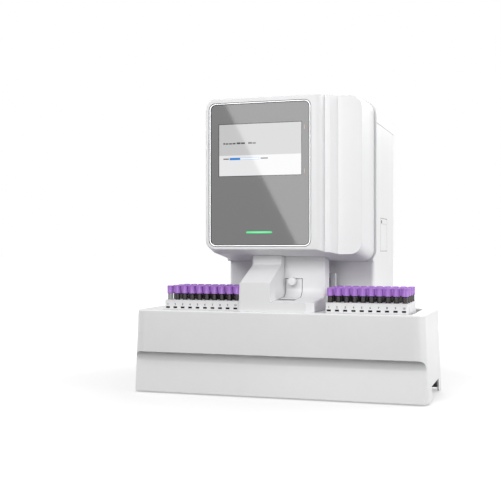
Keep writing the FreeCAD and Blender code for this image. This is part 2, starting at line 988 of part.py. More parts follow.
def make_column_bay():
    """Sheet tub behind the side door."""
    rear_x = body_half_width - wall - bay_depth
    tub = bay_room(bay_sheet, rear_x - bay_sheet, body_half_width - wall)
    flange = block(
        body_half_width - wall - bay_sheet, body_half_width - wall,
        door_front_y - 8.0, door_rear_y + 8.0, door_bottom_z - 8.0, door_top_z + 8.0,
    )
    tub = tub.fuse(flange).cut(bay_room(0.0, rear_x, body_half_width + 1.0)).removeSplitter()
    cam_x = body_half_width + lock_proud - lock_length
    lock_z = lock_place()[1]
    half = 0.5 * lock_cam_width + 1.0
    keeper = block(
        cam_x - lock_cam_sheet - 1.0, cam_x + 1.0, door_front_y, door_front_y + 4.0,
        lock_z - lock_cam_length, lock_z + half,
    )
    return tub.cut(keeper)


def column_axis():
    x = body_half_width - wall - bay_depth + clip_stand
    z = 0.5 * (door_bottom_z + door_top_z)
    return x, z


def make_column():
    """Steel separation column lying along the bay, with a nut on each end."""
    x, z = column_axis()
    middle_y = 0.5 * (door_front_y + door_rear_y)
    start = middle_y - 0.5 * column_length
    tube = Part.makeCylinder(0.5 * column_diameter, column_length, V(x, start, z), V(0, 1, 0))
    hexagon = polygon(6, over_corners(6, column_nut_flats), x, z)
    for y in (start - column_nut_length, start + column_length):
        tube = tube.fuse(along_y(hexagon, y, y + column_nut_length))
    return tube.removeSplitter()


def make_column_clips():
    x, z = column_axis()
    back = body_half_width - wall - bay_depth
    middle_y = 0.5 * (door_front_y + door_rear_y)
    outer = 0.5 * column_diameter + clip_wall
    seat = polygon(6, over_corners(6, column_diameter + 2.0 * pin_clearance), x, z)
    clips = []
    for side in (-1, 1):
        y = middle_y + side * 0.3 * column_length - 0.5 * clip_width
        hold = block(back, x + clip_grip, y, y + clip_width, z - outer, z + outer)
        clips.append(hold.cut(along_y(seat, y, y + clip_width)))
    return Part.makeCompound(clips)


def lock_place():
    return door_front_y + lock_inset_y, door_top_z - lock_inset_z


def make_access_door():
    outer = body_half_width
    door = door_area(0.0, outer - door_sheet, outer)
    groove = block(
        outer - door_groove_depth, outer + 1.0, door_front_y + 10.0, door_rear_y - 6.0,
        door_groove_z - 0.6, door_groove_z + 0.6,
    )
    y, z = lock_place()
    hole = Part.makeCylinder(
        0.5 * lock_diameter + lock_clearance, lock_length + wall, V(outer - lock_length, y, z), V(1, 0, 0)
    )
    return door.cut(groove).cut(hole).cut(door_pin_set(0.0))


def door_axis():
    """Vertical hinge line in the thickness of the door's rear edge (X, Y)."""
    return body_half_width - 0.54 * door_sheet, door_rear_y - door_pin_inset


def door_pin_set(grow):
    """Pivot pins set half in the door's rear corners and half in the housing's wall."""
    x, y = door_axis()
    radius = 0.5 * door_pin_diameter + grow
    length = door_pin_length + 2.0 * grow
    reach = -0.5 * door_pin_length
    low = Part.makeCylinder(radius, length, V(x, y, door_bottom_z + reach - grow))
    high = Part.makeCylinder(radius, length, V(x, y, door_top_z - reach - door_pin_length - grow))
    return Part.makeCompound([low, high])


def make_door_pins():
    return door_pin_set(0.0)


def make_door_lock():
    y, z = lock_place()
    outer = body_half_width
    barrel = Part.makeCylinder(
        0.5 * lock_diameter, lock_length, V(outer + lock_proud - lock_length, y, z), V(1, 0, 0)
    )
    key_slot = block(outer - 1.0, outer + lock_proud + 1.0, y - 0.6, y + 0.6, z - 2.4, z + 2.4)
    cam_x = outer + lock_proud - lock_length
    half = 0.5 * lock_cam_width
    cam = block(cam_x - lock_cam_sheet, cam_x, y - half, y + half, z - lock_cam_length, z + half)
    return barrel.cut(key_slot).fuse(cam).removeSplitter()


# Rear panel

def panel_face():
    return overall_depth - rear_panel_inset


def make_rear_panel():
    inner = body_half_width - wall
    face = panel_face()
    panel = block(
        -inner, inner, face - rear_panel_sheet, face, foot_height + wall, body_seam_z - wall
    )
    slots = []
    for row in range(vent_rows):
        z = vent_z + (row - 0.5 * (vent_rows - 1)) * vent_pitch
        slots.append(
            block(
                -0.5 * vent_width, 0.5 * vent_width, face - 2.0 * rear_panel_sheet, face + 1.0,
                z - 0.5 * vent_height, z + 0.5 * vent_height,
            )
        )
    half_x = 0.5 * switch_width + switch_gap + switch_frame_wall
    half_z = 0.5 * switch_height + switch_gap + switch_frame_wall
    holes = [
        block(
            switch_x - half_x, switch_x + half_x, face - 2.0 * rear_panel_sheet, face + 1.0,
            inlet_z - half_z, inlet_z + half_z,
        )
    ]
    return panel.cut(Part.makeCompound(slots + holes))


def make_power_inlet():
    face = panel_face()
    body = block(
        inlet_x - 0.5 * inlet_width, inlet_x + 0.5 * inlet_width, face, face + inlet_depth,
        inlet_z - 0.5 * inlet_height, inlet_z + 0.5 * inlet_height,
    )
    margin = 6.0
    socket = block(
        inlet_x - 0.5 * inlet_width + 2.0 * margin, inlet_x + 0.5 * inlet_width - 2.0 * margin,
        face + 2.0, face + inlet_depth + 1.0,
        inlet_z - 0.5 * inlet_height + margin, inlet_z + 0.5 * inlet_height - margin,
    )
    return body.cut(socket)


def switch_axis():
    return panel_face() - 1.0, inlet_z


def make_switch_frame():
    """Frame that snaps into the panel and holds the rocker between its cheeks."""
    face = panel_face()
    half_x = 0.5 * switch_width + switch_gap
    half_z = 0.5 * switch_height + switch_gap
    rim = switch_frame_wall
    body = block(
        switch_x - half_x - rim, switch_x + half_x + rim, face - switch_frame_depth, face + 1.0,
        inlet_z - half_z - rim, inlet_z + half_z + rim,
    )
    flange = block(
        switch_x - half_x - 2.0 * rim, switch_x + half_x + 2.0 * rim, face, face + 1.5,
        inlet_z - half_z - 2.0 * rim, inlet_z + half_z + 2.0 * rim,
    )
    room = block(
        switch_x - half_x, switch_x + half_x, face - switch_frame_depth + rim, face + 2.0,
        inlet_z - half_z, inlet_z + half_z,
    )
    y, z = switch_axis()
    half = 0.5 * trunnion_diameter + pin_clearance
    seats = block(
        switch_x - half_x - trunnion_reach, switch_x + half_x + trunnion_reach,
        y - half, y + half, z - half, z + half,
    )
    return body.fuse(flange).cut(room).cut(seats).removeSplitter()


def make_power_switch():
    """Rocker that turns on two trunnions."""
    y, z = switch_axis()
    half = 0.5 * switch_height
    steps = [
        (y - 4.0, z - half + 3.0),
        (y + 2.0, z - half),
        (y + 5.0, z - half),
        ((y + 2.6, z), (y + 5.0, z + half)),
        (y + 2.0, z + half),
        (y - 4.0, z + half - 3.0),
    ]
    rocker = along_x(steps, switch_x - 0.5 * switch_width, switch_x + 0.5 * switch_width)
    reach = 0.5 * switch_width + switch_gap + trunnion_reach - running_gap
    trunnions = Part.makeCylinder(
        0.5 * trunnion_diameter, 2.0 * reach, V(switch_x - reach, y, z), V(1, 0, 0)
    )
    return rocker.fuse(trunnions).removeSplitter()


def make_fluid_ports():
    face = panel_face()
    ports = []
    for n in range(port_count):
        x = port_first_x + n * port_pitch
        hexagon = polygon(6, over_corners(6, port_nut_flats), x, port_z)
        nut = along_y(hexagon, face, face + port_nut_length)
        start = face + port_nut_length
        stub = along_y(polygon(12, port_stub_diameter, x, port_z), start, start + port_stub_length)
        ports.append(nut.fuse(stub))
    return Part.makeCompound(ports)


# Gripper

def make_gripper_rail():
    half = 0.5 * gripper_rail_width
    return block(
        gripper_rail_x - half, gripper_rail_x + half,
        body_front_y - gripper_rail_depth, body_front_y,
        gripper_rail_bottom_z, gripper_rail_top_z,
    )


def make_gripper_arm():
    """Carriage on the rail, arm out to the tube, and the pad behind the cap."""
    half = 0.5 * gripper_rail_width
    rail_face = body_front_y - gripper_rail_depth
    gap = running_gap
    carriage = block(
        gripper_rail_x - half - 5.0, gripper_rail_x + half + 5.0,
        rail_face - 8.0, body_front_y - 2.0, gripper_arm_bottom_z, gripper_arm_top_z,
    )
    channel = block(
        gripper_rail_x - half - gap, gripper_rail_x + half + gap, rail_face - gap, body_front_y + 1.0,
        gripper_arm_bottom_z - 1.0, gripper_arm_top_z + 1.0,
    )
    back_y = gripper_tube_y + 0.5 * cap_diameter + gripper_grip_gap
    plate = block(
        gripper_rail_x - half - 5.0, gripper_arm_right_x, back_y, back_y + gripper_plate,
        gripper_arm_bottom_z, gripper_arm_top_z,
    )
    bridge = block(
        gripper_rail_x - half - 5.0, gripper_rail_x + half + 5.0,
        back_y, rail_face - 7.0, gripper_arm_bottom_z, gripper_arm_top_z,
    )
    jaw = block(
        gripper_tube_x + 0.5 * cap_diameter + gripper_grip_gap, gripper_arm_right_x,
        gripper_tube_y - 0.4 * cap_diameter, back_y + 1.0,
        gripper_arm_bottom_z, gripper_arm_top_z,
    )
    arm = carriage.cut(channel).multiFuse([plate, bridge, jaw])
    return arm.cut(channel).removeSplitter()


def gripped_bottom():
    return tube_top_z + gripper_lift


def make_gripped_tube():
    low = gripped_bottom() - tube_length
    return prism(tube_sides, tube_over_corners, gripper_tube_x, gripper_tube_y, low, gripped_bottom())


def make_gripped_cap():
    low = gripped_bottom()
    width = over_corners(cap_sides, cap_diameter)
    return prism(cap_sides, width, gripper_tube_x, gripper_tube_y, low, low + cap_height)


def save(name, shape):
    """Shift the origin to the middle of the footprint and write the node."""
    moved = shape.copy()
    moved.translate(V(0, -0.5 * overall_depth, 0))
    moved.exportStep(os.path.join("parts", name + ".step"))
    solids = len(moved.Solids)
    print(name, solids, "solid" if solids == 1 else "solids", round(moved.Volume), moved.isValid())


def main():
    os.makedirs("parts", exist_ok=True)
    save("loader_cover", make_loader_cover())
    save("loader_chassis", make_loader_chassis())
    save("rubber_feet", make_feet())
    save("rack_tray", make_rack_tray())
    for side, first_x in (("right", right_rack_x), ("left", left_rack_x)):
        for number in range(racks_per_side):
            label = side + "_" + str(number + 1)
            save("rack_" + label, make_rack(first_x, rack_y(number)))
            save("tubes_" + label, make_tubes(first_x, rack_y(number)))
            save("caps_" + label, make_caps(first_x, rack_y(number)))
    save("shuttle_rail", make_shuttle_rail())
    save("lane_shuttle", make_lane_shuttle())
    save("gripper_rail", make_gripper_rail())
    save("gripper_arm", make_gripper_arm())
    save("gripped_tube", make_gripped_tube())
    save("gripped_cap", make_gripped_cap())
    save("neck_cover", make_neck_cover())
    save("sample_door", make_hatch())
    save("sample_door_pin", make_hatch_pin())
    save("sample_door_knob", make_hatch_knob())
    save("sample_seat", make_hatch_seat())
    save("front_bezel", make_front_bezel())
    save("glass_trim", make_glass_trim())
    save("glass_panel", make_glass_panel())
    save("touch_screen", make_screen())
    save("status_lamp", make_status_lamp())
    save("head_shell", make_head_shell())
    save("rim_frame", make_rim_frame())
    save("rear_housing", make_rear_housing())
    save("top_cover", make_top_cover())
    save("column_bay", make_column_bay())
    save("column", make_column())
    save("column_clips", make_column_clips())
    save("access_door", make_access_door())
    save("door_pins", make_door_pins())
    save("door_lock", make_door_lock())
    save("rear_panel", make_rear_panel())
    save("power_inlet", make_power_inlet())
    save("switch_frame", make_switch_frame())
    save("power_switch", make_power_switch())
    save("fluid_ports", make_fluid_ports())


main()
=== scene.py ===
# %% [markdown]
# # A benchtop blood analyzer
# The solids of this machine were made in CAD. This notebook dresses them: it paints the mouldings,
# the glass and the steel, turns the sample tubes and their caps, and puts the machine in a bright
# studio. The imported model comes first, because every piece is placed by its boxes.

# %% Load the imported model
import json
import math
import random

import bmesh
import bpy
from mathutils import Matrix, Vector


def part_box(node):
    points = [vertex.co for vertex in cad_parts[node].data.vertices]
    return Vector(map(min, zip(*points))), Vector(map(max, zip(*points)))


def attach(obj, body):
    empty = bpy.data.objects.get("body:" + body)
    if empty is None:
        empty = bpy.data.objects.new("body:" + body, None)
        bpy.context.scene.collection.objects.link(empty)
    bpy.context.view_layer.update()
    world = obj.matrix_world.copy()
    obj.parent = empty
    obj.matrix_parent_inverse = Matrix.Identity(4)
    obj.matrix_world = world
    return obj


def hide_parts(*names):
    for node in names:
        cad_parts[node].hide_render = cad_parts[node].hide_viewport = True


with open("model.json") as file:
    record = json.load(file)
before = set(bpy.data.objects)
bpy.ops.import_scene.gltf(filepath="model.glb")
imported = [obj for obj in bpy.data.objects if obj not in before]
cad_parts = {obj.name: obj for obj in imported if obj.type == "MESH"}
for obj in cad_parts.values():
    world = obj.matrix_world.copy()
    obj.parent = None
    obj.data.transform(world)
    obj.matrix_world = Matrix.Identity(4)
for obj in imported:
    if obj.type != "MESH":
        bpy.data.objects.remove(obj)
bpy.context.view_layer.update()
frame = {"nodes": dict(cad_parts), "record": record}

MM = 0.001
MAIN = "analyzer"


# %% [markdown]
# ## The camera
# The photograph was fitted as a view from the right of the machine's front, turned 17.7 degrees
# to the left, at half the machine's height. The camera is level, which keeps upright edges
# upright. The lens follows from the fitted focal length in pixels.

# %% Camera
FOCAL_PIXELS = 924.6
IMAGE_PIXELS = 501
RISE_PIXELS = -2.0
SENSOR = 36.0
CAMERA_PLACE = (0.6290, -2.4395, 0.3648)
CAMERA_TURN = 17.7
camera_data = bpy.data.cameras.new("camera")
camera_data.sensor_width = SENSOR
camera_data.lens = SENSOR * FOCAL_PIXELS / IMAGE_PIXELS
camera_data.shift_y = RISE_PIXELS / IMAGE_PIXELS
camera_data.dof.use_dof = False
camera = bpy.data.objects.new("camera", camera_data)
camera.location = CAMERA_PLACE
camera.rotation_euler = (math.radians(90.0), 0.0, math.radians(CAMERA_TURN))
bpy.context.scene.collection.objects.link(camera)
bpy.context.scene.camera = camera
bpy.context.scene.view_settings.view_transform = "Standard"
print("lens", round(camera_data.lens, 2), "mm")


# %% [markdown]
# ## A shorthand for shader nodes
# A material is a graph of nodes, and adding each node and link by hand hides the idea behind it.
# The class Wire stands for one output of a node, and its operators add Math nodes, so a mask can be
# written as a sum. The class Graph keeps one node tree and has a single method that adds any node;
# Paint is the Graph of a new material.

# %% Wire, Graph and Paint
class Wire:
    """One output socket, usable in sums."""

    def __init__(self, graph, socket):
        self.graph = graph
        self.socket = socket

    def math(self, operation, first, second):
        return self.graph.node("ShaderNodeMath", {"operation": operation}, {0: first, 1: second})

    def __add__(self, other):
        return self.math("ADD", self, other)

    def __radd__(self, other):
        return self.math("ADD", other, self)

    def __sub__(self, other):
        return self.math("SUBTRACT", self, other)

    def __rsub__(self, other):
        return self.math("SUBTRACT", other, self)

    def __mul__(self, other):
        return self.math("MULTIPLY", self, other)

    def __rmul__(self, other):
        return self.math("MULTIPLY", other, self)

    def __gt__(self, other):
        return self.math("GREATER_THAN", self, other)

    def __lt__(self, other):
        return self.math("LESS_THAN", self, other)


class Graph:
    """A node tree and the shader at its end."""

    def __init__(self, tree, shader):
        self.tree = tree
        self.shader = tree.nodes[shader]

    def node(self, kind, settings, values, output=0):
        made = self.tree.nodes.new(kind)
        for name, value in settings.items():
            setattr(made, name, value)
        for name, value in values.items():
            self.plug(made.inputs[name], value)
        return Wire(self, made.outputs[output])

    def plug(self, socket, value):
        if isinstance(value, Wire):
            self.tree.links.new(value.socket, socket)
        else:
            socket.default_value = value

    def shade(self, **values):
        """Plug values into the shader; Base_Color stands for Base Color."""
        for name, value in values.items():
            self.plug(self.shader.inputs[name.replace("_", " ")], value)


class Paint(Graph):
    """A new material, with the place on the object as its first wire."""

    def __init__(self, name):
        self.material = bpy.data.materials.new(name)
        self.material.use_nodes = True
        super().__init__(self.material.node_tree, "Principled BSDF")
        self.place = self.node("ShaderNodeTexCoord", {}, {}, "Object")

    def shade(self, **values):
        super().shade(**values)
        return self.material


# %% [markdown]
# ## Helpers for finishes
# Colours are chosen as screen values from 0 to 255, because that is how they are read off a
# picture; Blender wants them linear. Noise gives mottling, a Bump node gives grain, and a Bevel
# node rounds the shading of sharp edges, as a mould never leaves a knife edge. Where two walls
# stand only a few millimetres apart, the colour is darkened a little: this is painted shade,
# placed by an ambient-occlusion node.

# %% Colour, noise, mix, bump and painted gap shade
def linear(level):
    share = level / 255.0
    return share / 12.92 if share <= 0.04045 else ((share + 0.055) / 1.055) ** 2.4


def colour(red, green, blue):
    return (linear(red), linear(green), linear(blue), 1.0)


def even(level):
    """A grey that is given in linear light."""
    return (level, level, level, 1.0)


def noise(paint, scale, detail=2.0, place=None):
    values = {"Vector": place or paint.place, "Scale": scale, "Detail": detail}
    return paint.node("ShaderNodeTexNoise", {}, values)


def mix(paint, factor, first, second):
    values = {"Factor": factor, 6: first, 7: second}
    return paint.node("ShaderNodeMix", {"data_type": "RGBA"}, values, 2)


def axis(paint, index):
    """One coordinate of the place on the object: 0, 1 or 2 for X, Y or Z."""
    return paint.node("ShaderNodeSeparateXYZ", {}, {0: paint.place}, index)


def stretched(paint, scales):
    """The place with each axis scaled, for brushed and drawn grain."""
    settings = {"operation": "MULTIPLY"}
    return paint.node("ShaderNodeVectorMath", settings, {0: paint.place, 1: scales})


def soft_edges(paint, radius):
    return paint.node("ShaderNodeBevel", {"samples": 4}, {"Radius": radius}, 0)


def bump(paint, height, strength, distance, normal=None):
    values = {"Height": height, "Strength": strength, "Distance": distance}
    if normal:
        values["Normal"] = normal
    return paint.node("ShaderNodeBump", {}, values)


# Painted shade: the colour is darkened towards this tone where walls stand close together.
CAVITY_REACH = 4.0 * MM
CAVITY_SHADE_TONE = (70, 70, 72)
CAVITY_SHUT = 0.12
CAVITY_OPEN = 0.62


def painted_gap_shade(paint, base):
    """The colour with painted shade: darker where walls stand a few millimetres apart."""
    reach = {"Distance": CAVITY_REACH}
    free = paint.node("ShaderNodeAmbientOcclusion", {"samples": 6}, reach, 1)
    ease = paint.node("ShaderNodeMapRange", {}, {0: free, 1: CAVITY_SHUT, 2: CAVITY_OPEN})
    return mix(paint, ease, colour(*CAVITY_SHADE_TONE), base)


print("white 231 is", round(linear(231), 3), "linear")


# %% [markdown]
# ## White mouldings
# The covers are injection-moulded and spark-eroded to a fine matt grain. A plain grey-white would
# look like plaster, so the colour drifts by a percent or two, the gloss drifts with it, and the
# grain is a fine noise in the bump. The same recipe serves the grey mouldings and the racks, with
# other tones and grain sizes. The gaps round the two doors and the seam under the top cover are too
# thin to show from afar, so a line of painted shade follows each of them.

# %% Moulded plastic
DRIFT_SCALE = 7.0
CLOUD_SCALE = 55.0
LINE_OUTSIDE = 0.7
LINE_INSIDE = 0.3


def inside(across_wire, z_wire, x0, x1, z0, z1):
    """1 inside a rectangle of a front or side view."""
    return (across_wire > x0) * (across_wire < x1) * (z_wire > z0) * (z_wire < z1)


def joint_shade_line(paint, node, across, width):
    """1 on a line round a door's outline, in the view along the other level axis."""
    low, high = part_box(node)
    views = []
    for grow in (LINE_OUTSIDE * width, -LINE_INSIDE * width):
        views.append(inside(
            axis(paint, across), axis(paint, 2), low[across] - grow, high[across] + grow,
            low[2] - grow, high[2] + grow,
        ))
    line = views[0] - views[1]
    return line * (axis(paint, 0) > 0.0) if across == 1 else line


def seam_shade_line(paint, node, width):
    """1 along the level seam under a cover."""
    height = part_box(node)[0][2]
    z_wire = axis(paint, 2)
    return (z_wire > height - width) * (z_wire < height + LINE_INSIDE * width)


def moulded(name, tone, texture, joints=()):
    """Grained plastic.

    A texture is (roughness, grain per metre, grain depth, edge radius). A joint is (node, axis,
    width, tone), for a line of painted shade round a door or under a cover.
    """
    roughness, grain_scale, grain_depth, edge_radius = texture
    paint = Paint(name)
    drift = noise(paint, DRIFT_SCALE, 3.0)
    cloud = noise(paint, CLOUD_SCALE, 2.0)
    pale = colour(*[min(255, v + 3) for v in tone])
    deep = colour(*[v - 4 for v in tone])
    # The base colour carries painted shade in narrow gaps.
    base = painted_gap_shade(paint, mix(paint, drift * 0.7 + cloud * 0.3, deep, pale))
    # Lines of painted shade round the doors and along the seam under the top cover.
    for node, across, width, joint_shade_tone in joints:
        if across == 2:
            line = seam_shade_line(paint, node, width)
        else:
            line = joint_shade_line(paint, node, across, width)
        base = mix(paint, line, base, colour(*joint_shade_tone))
    grain = noise(paint, grain_scale, 2.0)
    rounded = soft_edges(paint, edge_radius)
    normal = bump(paint, grain, 0.35, grain_depth, rounded)
    rough = roughness + (cloud - 0.5) * 0.12
    return paint.shade(Base_Color=base, Roughness=rough, Normal=normal)


finishes = {}
WHITE = (232, 232, 233)
GREY = (216, 217, 219)
RACK_GREY = (222, 222, 223)
WHITE_TEXTURE = (0.42, 1500.0, 0.06 * MM, 1.2 * MM)
GREY_TEXTURE = (0.48, 1300.0, 0.06 * MM, 0.8 * MM)
RACK_TEXTURE = (0.40, 1900.0, 0.04 * MM, 0.8 * MM)
# Painted shade: each line is darkened to the tone of a shaded gap.
DOOR_GAP_SHADE = ("sample_door", 0, 1.5 * MM, (80, 80, 82))
SERVICE_GAP_SHADE = ("access_door", 1, 1.6 * MM, (84, 84, 86))
COVER_SEAM_SHADE = ("top_cover", 2, 1.1 * MM, (96, 96, 98))
finishes["white_housing"] = moulded("white moulding", WHITE, WHITE_TEXTURE)
finishes["grey_trim"] = moulded("grey moulding", GREY, GREY_TEXTURE)
finishes["rack_plastic"] = moulded("rack moulding", RACK_GREY, RACK_TEXTURE)
sample_finish = moulded("white round the sample door", WHITE, WHITE_TEXTURE, [DOOR_GAP_SHADE])
REAR_GAP_SHADES = [SERVICE_GAP_SHADE, COVER_SEAM_SHADE]
service_finish = moulded("white of the rear body", WHITE, WHITE_TEXTURE, REAR_GAP_SHADES)
print("mouldings:", sorted(finishes))


# %% [markdown]
# ## Metals
# The chassis, the service bay and the rear panel are sheet steel with a powder coat, which has a
# faint orange peel. Rails and the separation column are brushed steel: the grain is a noise that is
# stretched along the brushing. The ring round the glass is satin aluminium.

# %% Powder coat and brushed metal
def powder_coat(name, tone):
    paint = Paint(name)
    peel = noise(paint, 620.0, 1.0)
    cloud = noise(paint, 30.0, 2.0)
    base = mix(paint, cloud, colour(*[v - 5 for v in tone]), colour(*tone))
    normal = bump(paint, peel, 0.3, 0.08 * MM, soft_edges(paint, 0.6 * MM))
    return paint.shade(Base_Color=base, Roughness=0.46 + cloud * 0.1, Normal=normal)


def brushed(name, tone, scales, roughness):
    """Steel or aluminium; the scales are grains per metre along X, Y and Z."""
    paint = Paint(name)
    grain = noise(paint, 1.0, 3.0, stretched(paint, scales))
    base = mix(paint, grain, colour(*[v - 22 for v in tone]), colour(*tone))
    normal = bump(paint, grain, 0.25, 0.03 * MM, soft_edges(paint, 0.4 * MM))
    return paint.shade(
        Base_Color=base, Metallic=1.0, Roughness=roughness + grain * 0.14, Normal=normal
    )


finishes["sheet_steel"] = powder_coat("powder-coated steel", (205, 206, 208))
finishes["bare_steel"] = brushed("brushed steel", (205, 205, 207), (60.0, 2500.0, 2500.0), 0.24)
finishes["silver_trim"] = brushed("satin aluminium", (240, 241, 243), (500.0, 500.0, 500.0), 0.36)
finishes["lock_steel"] = brushed("dark lock steel", (112, 112, 114), (900.0, 60.0, 900.0), 0.38)
print("metals: sheet_steel bare_steel silver_trim lock_steel")


# %% [markdown]
# ## Rubber and black plastic
# Both are nearly black, so only roughness and a coarse bump tell them apart from a hole. The same
# recipe, with less gloss, serves as painted shade in the rack slots and the glass ring's groove.

# %% Dark finishes
def dark(name, tone, roughness, grain_scale, grain_depth, gloss=0.5):
    paint = Paint(name)
    paint.shader.inputs["Specular IOR Level"].default_value = gloss
    cloud = noise(paint, 90.0, 3.0)
    grain = noise(paint, grain_scale, 2.0)
    base = mix(paint, cloud, colour(*tone), colour(*[v + 14 for v in tone]))
    normal = bump(paint, grain, 0.4, grain_depth, soft_edges(paint, 0.5 * MM))
    return paint.shade(Base_Color=base, Roughness=roughness + cloud * 0.15, Normal=normal)


finishes["rubber"] = dark("foot rubber", (38, 38, 39), 0.72, 700.0, 0.2 * MM)
finishes["black_plastic"] = dark("black plastic", (26, 26, 27), 0.38, 1500.0, 0.06 * MM)
# Painted shade: a near-black finish for the sheets in the rack slots.
slot_shade_finish = dark("painted slot shade", (6, 6, 7), 0.5, 1500.0, 0.04 * MM, 0.1)
# Painted shade: a grey finish for the groove on the outer side of the ring.
groove_shade_finish = dark("painted shade of the ring's groove", (112, 112, 114), 0.6, 900.0, 0.04 * MM, 0.2)
print("dark finishes: rubber, black plastic, painted shade in slots and the ring's groove")


# %% [markdown]
# ## The glass panel
# The front panel is glass that is printed grey behind. Its look comes from the clear surface: a low
# roughness with faint smears, so the studio shows in it. Two small amber indicators shine through
# the print beside the screen; each is a rectangle, made by comparing the place with its four sides.

# %% Back-printed glass
INDICATOR_X = 69.4 * MM
INDICATOR_Z = (554.2 * MM, 660.9 * MM)
INDICATOR_WIDTH = 1.2 * MM
INDICATOR_HEIGHT = 11.0 * MM
INDICATOR_GLOW = (172, 104, 52)
SCREEN_LINE = 1.9 * MM
SCREEN_LINE_TONE = (58, 58, 60)
SMEAR_SCALES = (14.0, 1.0, 38.0)


def printed_glass(name, tone):
    paint = Paint(name)
    smear = noise(paint, 1.0, 3.0, stretched(paint, SMEAR_SCALES))
    speck = noise(paint, 900.0, 1.0)
    base = mix(paint, speck, colour(*[v - 2 for v in tone]), colour(*[v + 2 for v in tone]))
    glow = even(0.0)
    for z in INDICATOR_Z:
        window = inside(
            axis(paint, 0), axis(paint, 2),
            INDICATOR_X - 0.5 * INDICATOR_WIDTH, INDICATOR_X + 0.5 * INDICATOR_WIDTH,
            z - 0.5 * INDICATOR_HEIGHT, z + 0.5 * INDICATOR_HEIGHT,
        )
        glow = mix(paint, window, glow, colour(*INDICATOR_GLOW))
    paint.shader.inputs["Emission Strength"].default_value = 1.0
    low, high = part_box("touch_screen")
    frame_line = inside(
        axis(paint, 0), axis(paint, 2),
        low[0] - SCREEN_LINE, high[0] + SCREEN_LINE, low[2] - SCREEN_LINE, high[2] + SCREEN_LINE,
    )
    base = mix(paint, frame_line, base, colour(*SCREEN_LINE_TONE))
    normal = bump(paint, smear, 0.02, 0.5 * MM, soft_edges(paint, 0.6 * MM))
    return paint.shade(
        Base_Color=base, Roughness=0.035 + smear * 0.03, Emission_Color=glow, Normal=normal
    )


finishes["dark_glass"] = printed_glass("printed glass", (126, 126, 127))
print("glass: dark_glass")


# %% [markdown]
# ## The lit screen
# The display shows a plain status page: a darker upper field, a lighter lower field, grey bars in
# place of words and a progress bar. Each shape is a rectangle mask made from the place on the
# screen, so the page is a table of rectangles with a strength and a tone. It glows through Emission
# Color.

# %% Status page
screen_low, screen_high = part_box("touch_screen")


def page_mask(x_wire, z_wire, left, right, low, high):
    """1 inside a rectangle that is measured in millimetres from the screen's lower left corner."""
    x = screen_low[0]
    z = screen_low[2]
    return inside(x_wire, z_wire, x + left * MM, x + right * MM, z + low * MM, z + high * MM)


PAPER = (226, 226, 227)
UPPER_FIELD = (0.0, 212.0, 50.6, 128.0)
WORDS = [
    (11.0, 15.0, 78.6, 82.6), (16.4, 24.4, 78.6, 81.6), (25.8, 34.0, 78.6, 81.6),
    (35.4, 43.0, 78.6, 82.0), (46.0, 56.0, 78.6, 83.0), (57.4, 68.0, 78.6, 82.6),
    (76.0, 86.0, 78.6, 82.8), (87.4, 96.0, 78.6, 81.8),
]
LABELS = [(11.0, 25.5, 40.6, 43.6), (108.5, 127.0, 40.6, 43.6)]
BAR = (27.6, 104.0, 39.2, 44.8)
BAR_INSIDE = (28.4, 103.2, 40.0, 44.0)
BAR_DONE = (27.6, 55.2, 39.2, 44.8)
PAGE = [(UPPER_FIELD, 1.0, (192, 192, 193))]
PAGE += [(word, 0.95, (34, 34, 38)) for word in WORDS]
PAGE += [(label, 0.9, (58, 58, 62)) for label in LABELS]
PAGE += [(BAR, 0.8, (96, 178, 228)), (BAR_INSIDE, 1.0, (236, 240, 244))]
PAGE += [(BAR_DONE, 1.0, (4, 122, 204))]


def lit_screen(name):
    paint = Paint(name)
    x_wire = axis(paint, 0)
    z_wire = axis(paint, 2)
    glow = colour(*PAPER)
    for shape, strength, tone in PAGE:
        glow = mix(paint, page_mask(x_wire, z_wire, *shape) * strength, glow, colour(*tone))
    cell = noise(paint, 4200.0, 0.0)
    normal = bump(paint, cell, 0.02, 0.02 * MM)
    paint.shader.inputs["Emission Strength"].default_value = 1.0
    return paint.shade(
        Base_Color=colour(20, 20, 22), Roughness=0.05, Emission_Color=glow, Normal=normal
    )


finishes["screen"] = lit_screen("status page")
print("screen page:", len(WORDS), "bars of text and a progress bar")


# %% [markdown]
# ## The status lamp
# A green light pipe lies in the glass. It is brightest in the middle, above its two diodes, and
# falls off towards the rounded ends.

# %% Green light pipe
def light_pipe(name):
    paint = Paint(name)
    low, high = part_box("status_lamp")
    middle = 0.5 * (low[0] + high[0])
    half = 0.5 * (high[0] - low[0])
    share = (axis(paint, 0) - middle) * (1.0 / half)
    fall = share * share
    glow = mix(paint, fall, colour(112, 218, 150), colour(80, 196, 122))
    frost = noise(paint, 2000.0, 1.0)
    paint.shader.inputs["Emission Strength"].default_value = 0.9
    return paint.shade(
        Base_Color=colour(40, 150, 84), Roughness=0.22, Emission_Color=glow,
        Normal=bump(paint, frost, 0.1, 0.03 * MM),
    )


finishes["lamp_green"] = light_pipe("green light pipe")
print("lamp: lamp_green")


# %% [markdown]
# ## Tubes and caps
# Blood tubes are clear plastic with a round bottom. Blood looks nearly black in the mass, and a
# full tube shows nothing but blood behind its glossy wall, so one dark glossy finish stands for
# both. The empty tube has a finish of its own, of scuffed clear plastic. The safety caps are purple
# polyethylene with fine ribs and a rubber stopper in the hollow of the top.

# %% Finishes of tubes and caps
def blood(name):
    paint = Paint(name)
    cloud = noise(paint, 60.0, 2.0)
    base = mix(paint, cloud, colour(14, 8, 8), colour(26, 15, 15))
    return paint.shade(
        Base_Color=base, Roughness=0.14 + cloud * 0.04, Normal=bump(paint, cloud, 0.05, 0.2 * MM)
    )


